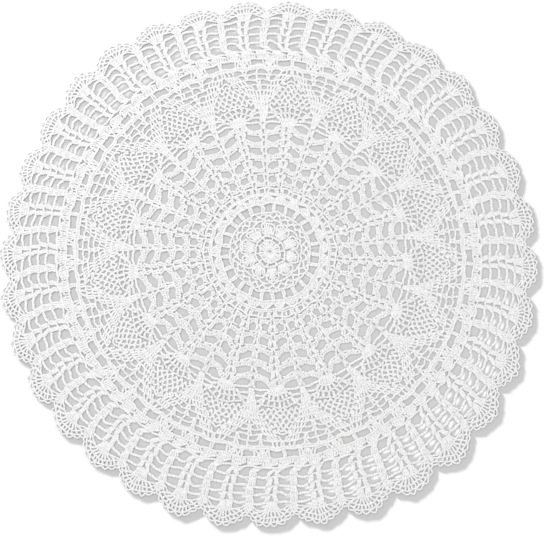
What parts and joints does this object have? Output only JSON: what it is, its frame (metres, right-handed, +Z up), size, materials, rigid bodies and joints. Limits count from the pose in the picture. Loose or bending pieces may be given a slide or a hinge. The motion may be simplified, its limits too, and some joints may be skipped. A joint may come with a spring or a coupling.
{
  "type": "round crochet lace tablecloth",
  "caption": "Round white cotton crochet lace tablecloth with pineapple motifs and a scalloped edge, laid out flat.",
  "frame": {"origin": "on the resting surface, under the middle of the cloth's outline", "axes": "+Z up out of the cloth's upper face; +X to the right and +Y away from the reader in the view from above"},
  "size_m": [0.6998, 0.6992, 0.003],
  "materials": {
    "cotton": "matt"
  },
  "bodies": {
    "root": {"crochet_cloth": "cotton"}
  },
  "joints": []
}
